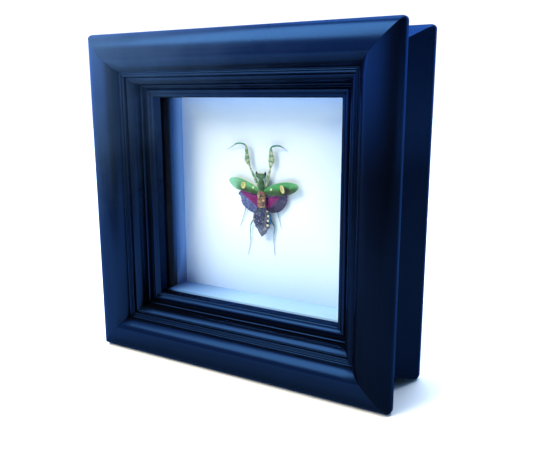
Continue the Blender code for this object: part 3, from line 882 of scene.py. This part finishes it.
def makeAbdomen(material):
    a = abdomen
    count = a["segments"] * a["ringsEach"]
    rings = []
    for number in range(count + 1):
        share = number / count
        lobe = (number % a["ringsEach"]) / (a["ringsEach"] - 1) * a["lobe"] * sin(pi * share)
        width = through(a["outline"], share) + lobe
        thickness = a["thickness"] * (1 - a["thinning"] * share**2)
        z = a["top"] + (a["tip"] - a["top"]) * share
        rings.append((through(a["centreLine"], share), a["height"], z, width, thickness))
    piece = growLimb("mantisAbdomen", rings, 16)
    length = (a["top"] - a["tip"]) / a["segments"]

    def carve(place):
        if place.y > a["height"]:
            part = ((a["top"] - place.z) / length) % 1.0
            rise = a["step"] * (part**2 - 0.4) + bulge(place.x, *a["keel"])
            rise += a["grain"] * roughness(place.x, place.z, a["grainSize"], 3.0)
            place.y += rise * min((place.y - a["height"]) / a["ease"], 1)
        return place

    shapePoints(piece, carve)
    ends = (a["cercusRoot"], a["cercusTip"])
    for side in (-1, 1):
        root, tip = [(side * x + a["cerciMiddle"], height, z) for x, height, z in ends]
        addThorns(piece, [(root, tip, a["cercus"])], 8)
    finishPiece(piece, "mantis_abdomen", material, bodySmooth)


def abdomenFinish():
    a = abdomen
    leaf = Finish("greyViolet", (0.1, 0.09, 0.15), 0.55, Specular_IOR_Level=0.2)
    x, z = leaf.onBoard()
    segment = leaf.maths("FRACT", (a["top"] - z) / ((a["top"] - a["tip"]) / a["segments"]))
    edge = leaf.noise(1.2, 2.0) * 1.2
    line = leaf.rise(abs(x - 3.3 - (z + 13) * 0.1), 0.4, 0.12) * leaf.rise(z, -19.5, -17.5)
    line = line * leaf.rise(z, -6.5, -8.0) * leaf.rise(leaf.noise(0.9, 2.0), 0.35, 0.5)
    colour = leaf.mosaic(0.75, a["patches"])
    for share, over in (
        (leaf.rise(z + leaf.noise(2.0, 2.0) * 3.0, -13.0, -16.5) * 0.45, a["pale"]),
        (leaf.speckles(0.95, 0.56, 0.63) * 0.75, a["dust"]),
        (leaf.speckles(1.1, 0.42, 0.35) * 0.6, a["soot"]),
        (leaf.rise(x + edge, 6.2, 6.9) * leaf.rise(z, -18, -15) * 0.9, a["rightRim"]),
        (leaf.rise(x - edge, -4.9, -5.8) * 0.6, a["leftRim"]),
        (leaf.rise(segment, 0.86, 0.98) * 0.55, a["seam"]),
    ):
        colour = leaf.mix(share, colour, over)
    colour = leaf.spotted(colour, (x, z), a["creamSpots"], a["cream"])
    colour = leaf.spotted(colour, (x, z), a["paleSpots"], a["pink"])
    rough = 0.48 + leaf.noise(0.7, 2.0) * 0.2
    normal = leaf.bump(leaf.noise(0.35, 3.0), 0.04, 0.8)
    return leaf.cover(leaf.mix(line * 0.45, colour, a["line"]), rough, normal)


# Wings: a grid carried onto the board, with raised veins, then given its thickness

wings = {
    "thickness": 0.16, "columns": 90, "rows": 34, "veinRise": 0.07, "veinWidth": 0.13,
    "foreHeight": 3.6, "foreArch": 0.55, "foreLift": 0.35, "veinBend": 1.6,
    "hindHeight": 2.3, "folds": 10, "pleat": 0.2, "hindColumns": 40, "foldRows": 8, "hindThin": 0.8,
    "hindStart": 0.04, "foldVein": 0.1, "foldRise": 0.04,
    "leftLead": [(-1.6, 7.0), (-6.1, 9.5), (-9.8, 11.0), (-13.5, 12.4), (-17.4, 13.2), (-20.6, 13.1),
                 (-22.7, 12.4), (-23.7, 11.3)],
    "leftTrail": [(-1.6, 4.6), (-4.3, 3.8), (-8.7, 4.1), (-13.1, 5.0), (-17.0, 5.7), (-19.9, 6.8),
                  (-22.4, 9.1), (-23.6, 10.9)],
    "rightLead": [(1.6, 6.7), (6.2, 9.3), (9.9, 10.8), (13.5, 11.8), (17.6, 12.4), (21.7, 12.2),
                  (24.3, 11.5), (25.8, 10.1)],
    "rightTrail": [(1.6, 4.6), (3.9, 3.7), (9.8, 3.5), (15.8, 4.1), (19.9, 5.1), (22.8, 6.5), (25.0, 8.4),
                   (25.7, 9.7)],
    # (chord at the start, chord at the end, first and last span) of each vein
    "foreVeins": [(0.9, 0.95, 0, 0.9), (0.76, 0.72, 0, 1), (0.64, 0.5, 0.02, 1), (0.56, 0.3, 0.04, 1),
                  (0.48, 0.1, 0.06, 0.92), (0.4, -0.02, 0.08, 0.7), (0.3, -0.02, 0.05, 0.42),
                  (0.16, -0.02, 0.02, 0.2)],
    # (angle, length) of the hindwings' rims from their roots
    "leftReach": [(165, 14.6), (176, 16.1), (183, 14.6), (198, 14.4), (209, 13.8), (223, 12.6),
                  (240, 11.6), (262, 11.3)],
    "rightReach": [(12, 15.3), (3, 15.6), (-9, 15.3), (-21, 14.4), (-36, 13.1), (-52, 11.4), (-66, 9.7),
                   (-82, 8.5)],
    "leftRoot": (-1.6, 1.6), "rightRoot": (1.8, 1.6), "rim": 0.006,
    "ripple": 0.06, "sag": 0.12, "smoothBelow": 50,
}


def onCurve(points, share):
    # a smooth curve through points in the plane of the board
    walk = share * (len(points) - 1)
    number = min(int(walk), len(points) - 2)
    part = walk - number
    around = [Vector(points[min(max(number + step, 0), len(points) - 1)]) for step in (-1, 0, 1, 2)]
    before, start, end, after = around
    return 0.5 * (2 * start + (end - before) * part + (2 * before - 5 * start + 4 * end - after) * part**2
                  + (3 * start - before - 3 * end + after) * part**3)


def wingSheet(name, columns, rows, setPoint, thickness):
    # setPoint gives the place and the vein's strength from the two shares across the grid
    bpy.ops.mesh.primitive_grid_add(x_subdivisions=columns, y_subdivisions=rows, size=1)
    piece = nameNew(name)
    marks = [piece.data.attributes.new(mark, "FLOAT", "POINT") for mark in ("span", "chord", "vein")]
    for number, point in enumerate(piece.data.vertices):
        span, chord = point.co.x + 0.5, point.co.y + 0.5
        place, vein = setPoint(span, chord)
        point.co = onBoard(*place)
        for mark, value in zip(marks, (span, chord, vein)):
            mark.data[number].value = value
    addModifier(piece, "SOLIDIFY", thickness=thickness * mm, offset=0)
    turnOutwards(piece)
    return piece


def makeForewing(side, material):
    w = wings

    def setPoint(span, chord):
        front, back = onCurve(w[side + "Lead"], span), onCurve(w[side + "Trail"], span)
        place = back.lerp(front, chord)
        breadth = (front - back).length
        vein = 0.0
        for start, end, first, last in w["foreVeins"]:
            if first <= span <= last:
                part = (span - first) / (last - first)
                gap = abs(chord - start - (end - start) * part ** w["veinBend"]) * breadth
                vein = max(vein, bulge(gap, 0, w["veinWidth"]))
        height = w["foreHeight"] + w["foreArch"] * sin(pi * chord) + w["foreLift"] * sin(pi * span)
        height += w["ripple"] * roughness(*place, 2.5)
        return (place.x, height + vein * w["veinRise"], place.y), vein

    piece = wingSheet("forewing" + side.title(), w["columns"], w["rows"], setPoint, w["thickness"])
    finishPiece(piece, "forewing_" + side, material, w["smoothBelow"])


def makeHindwing(side, material):
    w = wings
    root, reach, folds = Vector(w[side + "Root"]), w[side + "Reach"], w["folds"]
    first, last = reach[0][0], reach[-1][0]
    rim = [root + Vector((cos(radians(angle)), sin(radians(angle)))) * length for angle, length in reach]
    shares = [(angle - first) / (last - first) for angle, _ in reach]

    def rimAt(chord):
        number = max(index for index, share in enumerate(shares[:-1]) if share <= chord + 1e-6)
        part = (chord - shares[number]) / (shares[number + 1] - shares[number])
        return onCurve(rim, (number + part) / (len(rim) - 1))

    def setPoint(span, chord):
        turn = abs(2 * (chord * folds % 1.0) - 1)  # 1 on a fold's ridge, 0 in its valley
        reached = (rimAt(chord) - root) * (1 - w["rim"] * (1 - turn))
        out = w["hindStart"] + (1 - w["hindStart"]) * span
        place = root + reached * out
        gap = (1 - turn) / 2 * abs(radians(last - first)) * reached.length * out / folds
        vein = bulge(gap, 0, w["foldVein"])
        sag = w["sag"] * roughness(*place, 3.0, 5.0)
        height = w["hindHeight"] + w["pleat"] * (2 * turn - 1) * out + sag * out
        height += vein * w["foldRise"]
        return (place.x, height, place.y), vein

    rows, thickness = folds * w["foldRows"], w["thickness"] * w["hindThin"]
    piece = wingSheet("hindwing" + side.title(), w["hindColumns"], rows, setPoint, thickness)
    finishPiece(piece, "hindwing_" + side, material, w["smoothBelow"])


forewings = {
    "inner": shown(64, 112, 38), "vein": shown(56, 104, 50), "shade": shown(34, 52, 18),
    "dark": shown(30, 26, 18), "rim": shown(180, 220, 214), "yellow": shown(200, 192, 118),
    "olive": shown(52, 62, 26), "cream": shown(204, 208, 164), "dotSize": (0.7, 0.85),
    "left": {
        "edge": shown(92, 160, 106), "outer": shown(136, 198, 168), "outerFrom": (0.5, 0.8),
        "shadeFrom": (0.78, 0.36), "shadeTo": (0.68, 0.36), "spot": ((-12.7, 8.7), (1.7, 2.25), -12),
        "dot": (-5.7, 7.8), "halo": ((-12.4, 7.2), (3.0, 2.8)), "haloShare": 0.35,
    },
    "right": {
        "edge": shown(60, 144, 84), "outer": shown(82, 160, 104), "outerFrom": (0.62, 0.9),
        "shadeFrom": (0.86, 0.46), "shadeTo": (0.98, 0.72), "spot": ((14.9, 8.0), (1.4, 2.7), 18),
        "dot": (7.2, 7.4), "halo": ((16.8, 6.8), (4.6, 3.6)), "haloShare": 0.97,
    },
}


def forewingFinish(side):
    look = {**forewings, **forewings[side]}
    wing = Finish(side + "Forewing", (0.1, 0.3, 0.08), 0.4, Specular_IOR_Level=0.3)
    place = wing.onBoard()
    span, chord, vein = wing.mark("span"), wing.mark("chord"), wing.mark("vein")
    cloud = wing.noise(2.0, 3.0)
    net = wing.rise(wing.cells(0.75, wing.stretched((0.7, 1, 1.2)), "DISTANCE_TO_EDGE"), 0.09, 0.02)
    trailing = wing.rise(chord + cloud * 0.35, *look["shadeFrom"]) * wing.rise(span, *look["shadeTo"])
    reach, across, up = wing.oval(place, *look["spot"])
    far, _, _ = wing.oval(place, *look["halo"])
    dot, _, _ = wing.oval(place, look["dot"], look["dotSize"])
    ring = wing.rise(abs(reach - 0.55), 0.19, 0.08)
    comma = ring * wing.rise(across * -1 + up * 0.3, -0.1, 0.5)
    core = wing.rise(reach, 0.26, 0.14)
    colour = wing.mix(wing.rise(chord + cloud * 0.3, 0.5, 0.95), look["inner"], look["edge"])
    for share, over in (
        (wing.rise(span + cloud * 0.16, *look["outerFrom"]), "outer"),
        (trailing * 0.92, "shade"),
        (wing.rise(span, 0.84, 1.0) * 0.7, "rim"),
        (vein * 0.4, "vein"),
        (net * 0.3, "vein"),
        (wing.rise(far + cloud * 0.4, 1.25, 0.75) * look["haloShare"], "dark"),
        (wing.rise(reach, 1.2, 1.05) * 0.7, "dark"),
        (wing.rise(reach, 1.02, 0.92), "yellow"),
        (wing.maths("MAXIMUM", comma, core) * 0.7, "olive"),
        (wing.rise(dot, 1.15, 0.75), "cream"),
    ):
        colour = wing.mix(share, colour, look[over])
    height = vein + net * 0.5 + wing.noise(0.4, 2.0) * 0.3
    return wing.cover(colour, 0.36 + cloud * 0.18, wing.bump(height, 0.03, 0.6))


hindwings = {
    "pink": shown(146, 26, 112), "pinkDeep": shown(98, 12, 76), "lead": shown(142, 62, 140),
    "vein": shown(56, 26, 66), "soft": 0.9,
    "left": {
        "limit": (-9.7, -0.5), "away": (-0.58, -0.81), "smoke": shown(98, 118, 164),
        "deep": shown(56, 66, 112), "net": 0.2, "fleck": 0.3, "netColour": shown(142, 138, 176),
        "veinShare": 0.3, "soot": 0.55, "sootColour": shown(64, 46, 78),
    },
    "right": {
        "limit": (10.1, 0.6), "away": (0.72, -0.69), "smoke": shown(17, 19, 56), "deep": shown(8, 9, 30),
        "net": 0.25, "fleck": 0.75, "netColour": shown(134, 126, 168), "veinShare": 0.4,
        "soot": 0.5, "sootColour": shown(20, 10, 26),
    },
}


def hindwingFinish(side):
    look = {**hindwings, **hindwings[side]}
    fan = Finish(side + "Hindwing", (0.3, 0.03, 0.2), 0.45, Specular_IOR_Level=0.2)
    x, z = fan.onBoard()
    chord, vein = fan.mark("chord"), fan.mark("vein")
    cloud = fan.noise(1.6, 3.0)
    # the magenta ends at a straight line across the fan, softened by the clouds
    (limitX, limitZ), (awayX, awayZ), soft = look["limit"], look["away"], look["soft"]
    past = (x - limitX) * awayX + (z - limitZ) * awayZ + (cloud - 0.5) * 2.2
    net = fan.rise(fan.cells(0.55, None, "DISTANCE_TO_EDGE"), 0.13, 0.03)
    smoke = fan.mix(fan.rise(cloud, 0.35, 0.65), look["smoke"], look["deep"])
    smoke = fan.mix(net * look["net"], smoke, look["netColour"])
    smoke = fan.mix(fan.speckles(0.85, 0.56, 0.62) * look["fleck"], smoke, look["netColour"])
    smoke = fan.mix(fan.speckles(1.3, 0.42, 0.34) * look["soot"], smoke, look["sootColour"])
    colour = fan.mix(fan.rise(past, soft, -soft), smoke, fan.mix(cloud, look["pink"], look["pinkDeep"]))
    colour = fan.mix(vein * look["veinShare"], colour, look["vein"])
    colour = fan.mix(fan.rise(chord, 0.07, 0.0) * 0.7, colour, look["lead"])
    return fan.cover(colour, 0.4 + cloud * 0.15, fan.bump(vein + net * 0.6, 0.03, 0.6))


# Legs

legs = {
    "foreLeft": [
        (-1.0, 2.9, 6.6, 1.1, 0.9), (-2.1, 2.7, 7.6, 1.6, 1.1), (-3.0, 2.7, 8.8, 1.9, 1.2),
        (-3.9, 2.8, 10.8, 2.0, 1.3), (-5.2, 3.0, 13.8, 1.9, 1.2), (-6.9, 3.2, 17.0, 1.6, 1.15),
        (-8.3, 3.3, 19.6, 1.3, 1.1), (-8.5, 3.3, 20.3, 1.0, 0.95), (-8.8, 3.3, 21.0, 1.4, 1.2),
        (-9.7, 3.4, 22.9, 2.9, 1.35), (-10.5, 3.4, 24.6, 4.3, 1.4), (-10.5, 3.4, 25.8, 3.7, 1.4),
        (-10.6, 3.4, 28.0, 2.9, 1.35), (-10.75, 3.4, 30.6, 2.2, 1.2), (-10.95, 3.4, 32.4, 1.7, 1.1),
        (-11.3, 3.4, 33.4, 1.0, 0.9), (-12.1, 3.4, 34.0, 1.2, 0.95), (-14.0, 3.3, 34.5, 1.15, 0.9),
        (-16.6, 3.1, 34.6, 1.2, 0.8), (-18.7, 2.95, 34.2, 0.95, 0.7), (-19.4, 2.85, 33.8, 0.45, 0.45),
        (-20.1, 2.7, 33.4, 0.55, 0.5), (-21.4, 2.4, 32.6, 0.42, 0.42), (-21.6, 2.35, 32.5, 0.34, 0.34),
        (-21.8, 2.3, 32.4, 0.46, 0.44), (-23.6, 1.9, 31.5, 0.36, 0.36), (-23.8, 1.85, 31.4, 0.28, 0.28),
        (-24.0, 1.8, 31.3, 0.4, 0.36), (-26.0, 1.3, 30.5, 0.28, 0.28), (-27.3, 1.05, 29.9, 0.2, 0.2),
    ],
    "foreRight": [
        (1.2, 2.9, 6.4, 1.1, 0.9), (2.1, 2.7, 7.6, 1.6, 1.1), (2.8, 2.7, 9.0, 1.9, 1.2),
        (3.3, 2.8, 11.2, 2.0, 1.3), (4.1, 2.9, 14.0, 1.9, 1.2), (4.9, 3.0, 16.6, 1.6, 1.15),
        (5.7, 3.2, 18.8, 1.3, 1.1), (5.85, 3.3, 19.7, 1.0, 0.95), (6.0, 3.3, 20.5, 1.5, 1.2),
        (6.35, 3.4, 22.8, 3.2, 1.35), (7.0, 3.4, 25.0, 5.0, 1.4), (6.9, 3.4, 26.2, 4.3, 1.4),
        (6.75, 3.4, 28.3, 3.2, 1.35), (6.6, 3.4, 30.4, 2.4, 1.2), (6.5, 3.4, 31.9, 1.7, 1.1),
        (6.7, 3.4, 32.7, 1.0, 0.9), (7.5, 3.35, 33.4, 1.2, 0.95), (9.4, 3.2, 33.9, 1.15, 0.9),
        (11.6, 3.1, 34.0, 1.2, 0.8), (13.3, 3.0, 33.7, 0.95, 0.7), (13.9, 2.85, 33.3, 0.45, 0.45),
        (14.4, 2.7, 33.0, 0.55, 0.5), (15.1, 2.45, 32.5, 0.42, 0.42), (15.25, 2.4, 32.4, 0.34, 0.34),
        (15.4, 2.3, 32.3, 0.44, 0.42), (16.1, 2.0, 31.7, 0.34, 0.34), (16.2, 1.95, 31.6, 0.28, 0.28),
        (16.35, 1.9, 31.5, 0.38, 0.34), (16.9, 1.6, 31.0, 0.26, 0.26), (17.2, 1.4, 30.7, 0.2, 0.2),
    ],
    "walking": {
        "midLeft": [(-0.6, 0.6), (-12.2, -4.2), (-15.6, -13.6), (-18.0, -18.5)],
        "midRight": [(0.6, 0.6), (9.2, -4.6), (11.2, -12.4), (12.0, -17.0)],
        "hindLeft": [(-0.5, -2.6), (-9.6, -16.9), (-9.8, -27.9), (-12.2, -36.7)],
        "hindRight": [(0.5, -2.6), (7.8, -16.1), (6.9, -27.0), (7.5, -35.2)],
    },
    "femurThorns": (7, 10, 14), "tibiaThorns": (9, 16, 19),  # (count, first and last station)
    # for each bone: (share of its length, width)
    "femur": [(0.0, 0.8), (0.06, 0.9), (0.3, 1.0), (0.6, 0.85), (0.86, 0.7), (0.93, 1.05), (0.985, 0.7)],
    "tibia": [(0.03, 0.62), (0.1, 0.7), (0.5, 0.5), (0.93, 0.46), (0.985, 0.5)],
    "tarsus": [(0.03, 0.34), (0.3, 0.3), (0.46, 0.36), (0.5, 0.26), (0.66, 0.32), (0.7, 0.24), (0.86, 0.3),
               (0.9, 0.2), (1.0, 0.14)],
    "heights": {"mid": (1.5, 1.2, 0.75, 0.14), "hind": (2.7, 1.35, 0.75, 0.14)},
    "mottle": [(200, 194, 150), (54, 130, 80), (188, 184, 138), (206, 194, 160), (44, 116, 74),
               (196, 180, 152)],
    "band": shown(40, 112, 72), "fleck": shown(52, 104, 70),
    "shin": [(24, 96, 76), (60, 146, 112), (34, 116, 92)],
    "foot": (shown(46, 104, 120), shown(140, 164, 214)),
    "pale": (shown(112, 158, 168), shown(44, 98, 96)), "knee": shown(48, 106, 72),
}


def makeForeleg(side, turn, material):
    stations = [Vector(station) for station in legs["fore" + side.title()]]
    piece = growLimb("foreleg" + side.title(), stations, 8)
    thorns = []
    count, first, last = legs["femurThorns"]
    for number in range(count):  # along the inner edge of the femur
        x, _, z, width, _ = stations[first].lerp(stations[last], number / (count - 1))
        inner = -turn * width / 2
        length = 0.75 if number % 2 else 0.5
        thorns.append(((x + inner * 0.85, 3.2, z), (x + inner - turn * length, 3.1, z + 0.35), 0.13))
    count, first, last = legs["tibiaThorns"]
    for number in range(count):  # under the tibia, and its long end claw
        x, _, z, width, _ = stations[first].lerp(stations[last], number / (count - 1))
        thorns.append(((x, 3.1, z - width * 0.4), (x + turn * 0.25, 3.0, z - width / 2 - 0.45), 0.09))
    x, _, z, _, _ = stations[last]
    thorns.append(((x, 2.9, z - 0.2), (x + turn * 1.3, 2.6, z - 1.5), 0.22))
    addThorns(piece, thorns)
    finishPiece(piece, "foreleg_" + side, material, bodySmooth)


def makeWalkingLeg(pair, side, material):
    joints, heights = legs["walking"][pair + side.title()], legs["heights"][pair]
    stations = []
    bones = ("femur", "tibia", "tarsus")
    for bone, start, end, low, high in zip(bones, joints, joints[1:], heights, heights[1:]):
        for share, width in legs[bone]:
            x, z = Vector(start).lerp(Vector(end), share)
            bow = 0.25 * sin(pi * share) if bone != "tarsus" else 0.0
            stations.append((x, low + (high - low) * share + bow, z, width, min(width, 0.8) * 0.95))
    piece = growLimb(f"{pair}{side.title()}Leg", stations, 8)
    x, _, z, _, _ = stations[-1]
    addThorns(piece, [((x, 0.16, z), (x + turn * 0.3, 0.1, z - 0.3), 0.07) for turn in (-1, 1)])
    finishPiece(piece, f"{pair}leg_{side}", material, bodySmooth)


def forelegFinish():
    leg = Finish("mottledForeleg", (0.4, 0.4, 0.2), 0.45)
    along = leg.mark("along")
    wobble = leg.noise(0.9, 3.0)
    band = leg.rise(leg.maths("SINE", along * 2 * pi * 12 + wobble * 6), 0.35, 0.8)
    colour = leg.mix(band * 0.8, leg.mosaic(1.15, legs["mottle"]), legs["band"])
    colour = leg.mix(leg.speckles(0.45, 0.6, 0.68) * 0.8, colour, legs["fleck"])
    colour = leg.mix(leg.rise(along, 0.64, 0.68), colour, leg.mosaic(0.8, legs["shin"]))
    foot = leg.mix(leg.rise(along, 0.87, 0.95), *legs["foot"])
    colour = leg.mix(leg.rise(along, 0.81, 0.86), colour, foot)
    return leg.cover(colour, 0.4 + wobble * 0.2, leg.bump(leg.noise(0.3, 3.0), 0.03, 0.7))


def paleLegFinish():
    leg = Finish("paleLeg", (0.4, 0.5, 0.4), 0.45)
    along = leg.mark("along")
    wobble = leg.noise(1.1, 3.0)
    band = leg.rise(leg.maths("SINE", along * 2 * pi * 7 + wobble * 5), 0.2, 0.8)
    knee = leg.rise(abs(along - 0.37), 0.1, 0.02)
    colour = leg.mix(knee * 0.8, leg.mix(band * 0.85, *legs["pale"]), legs["knee"])
    return leg.cover(colour, 0.42 + wobble * 0.2, leg.bump(leg.noise(0.3, 3.0), 0.02, 0.7))


# A drop of glue that runs out on the board and holds the belly

glueDab = {
    "rings": [(0.02, 2.6), (0.25, 2.3), (0.7, 1.8), (1.3, 1.6), (2.0, 1.8), (2.6, 2.2)],  # (height, width)
    "up": 4.2, "unevenness": 0.15, "light": (0.8, 0.78, 0.68), "dark": (0.62, 0.56, 0.42),
}


def makeGlueDab(material):
    up = glueDab["up"]
    towards = Vector((0, -1, 0.0001))
    rings = [ringAt(onBoard(0, height, up), towards, width, width) for height, width in glueDab["rings"]]
    piece = growRings("glueDab", rings, 14)

    def carve(place):
        uneven = glueDab["unevenness"] * roughness(place.x, place.z, 1.4)
        return place + Vector((place.x, 0, place.z - up)) * uneven

    shapePoints(piece, carve)
    finishPiece(piece, "glue_dab", material, bodySmooth)


def glueFinish():
    glue = Finish("driedGlue", (0.75, 0.72, 0.62), 0.2, IOR=1.48)
    cloud = glue.noise(0.9, 3.0)
    colour = glue.mix(cloud, glueDab["light"], glueDab["dark"])
    return glue.cover(colour, 0.14 + cloud * 0.2, glue.bump(glue.noise(0.7, 2.0), 0.05, 0.5))


makeHead(headFinish())
makeThorax(thoraxFinish())
makeAbdomen(abdomenFinish())
banded, pale = forelegFinish(), paleLegFinish()
for side in ("left", "right"):
    makeForewing(side, forewingFinish(side))
for side in ("left", "right"):
    makeHindwing(side, hindwingFinish(side))
for side, turn in (("left", -1), ("right", 1)):
    makeForeleg(side, turn, banded)
for pair in ("mid", "hind"):
    for side in ("left", "right"):
        makeWalkingLeg(pair, side, pale)
makeGlueDab(glueFinish())
print("mantis made")


# The floor and the light

studio = {
    "floorColour": (0.95, 0.96, 0.97), "floorSize": 4.0, "floorPlace": (0, 1.6, -0.0005), "shown": 1.15,
    "fill": (0.32, 0.60, 1.0, 1), "bright": 1.4, "dim": 0.08, "dimSide": (0.95, -0.3, -0.1),
    "backSide": (-0.6, 0.65, 0.46), "backGlow": 1.8,
    "window": {"side": 236, "up": 47, "distance": 1.5, "size": (0.8, 1.2), "energy": 42,
               "colour": (1.0, 0.86, 0.62)},
    "sun": {"side": 100, "up": 66, "distance": 2.0, "angle": 50, "energy": 2.4,
            "colour": (1.0, 0.93, 0.85)},
}

bpy.ops.mesh.primitive_plane_add(size=studio["floorSize"], location=studio["floorPlace"])
floor = nameNew("floor")
ground = Finish("paleFloor", studio["floorColour"], 0.9)
ground.put("Roughness", 0.85 + ground.noise(300, 2.0) * 0.1)
floor.data.materials.append(ground.material)


def addLight(name, kind, look):
    # a soft light that faces the middle of the frame
    side, up = radians(look["side"]), radians(look["up"])
    towards = Vector((cos(up) * cos(side), cos(up) * sin(side), sin(up)))
    lamp = bpy.data.lights.new(name, kind)
    lamp.color = look["colour"]
    lamp.energy = look["energy"]
    if kind == "SUN":
        lamp.angle = radians(look["angle"])
    else:
        lamp.shape = "RECTANGLE"
        lamp.size, lamp.size_y = look["size"]
    made = bpy.data.objects.new(name, lamp)
    made.location = Vector((0, 0, middle)) + towards * look["distance"]
    made.rotation_euler = towards.to_track_quat("Z", "Y").to_euler()
    bpy.context.scene.collection.objects.link(made)


def lightRoom():
    # pale all round and dimmer on the viewer's side; the viewer sees plain white
    world = bpy.data.worlds.new("paleRoom")
    bpy.context.scene.world = world
    world.use_nodes = True
    room = Nodes(world.node_tree)
    way = room.node("TexCoord", output="Generated")
    facing = room.vectors("DOT_PRODUCT", {0: way, 1: studio["dimSide"]}, "Value")
    behind = room.vectors("DOT_PRODUCT", {0: way, 1: studio["backSide"]}, "Value")
    side = room.rise(facing, -0.3, 0.9, studio["bright"], studio["dim"])
    glow = room.rise(behind, 0.1, 1.0, 0.0, studio["backGlow"])
    lit = room.node("Background", inputs={0: studio["fill"], 1: side + glow})
    seen = room.node("Background", inputs={0: (1, 1, 1, 1), 1: studio["shown"]})
    room.showBlend(room.node("LightPath", output="Is Camera Ray"), lit, seen, "World Output")


addLight("windowLight", "AREA", studio["window"])
addLight("sunLight", "SUN", studio["sun"])
lightRoom()
bpy.context.scene.view_settings.view_transform = "Standard"
print("floor and light set")
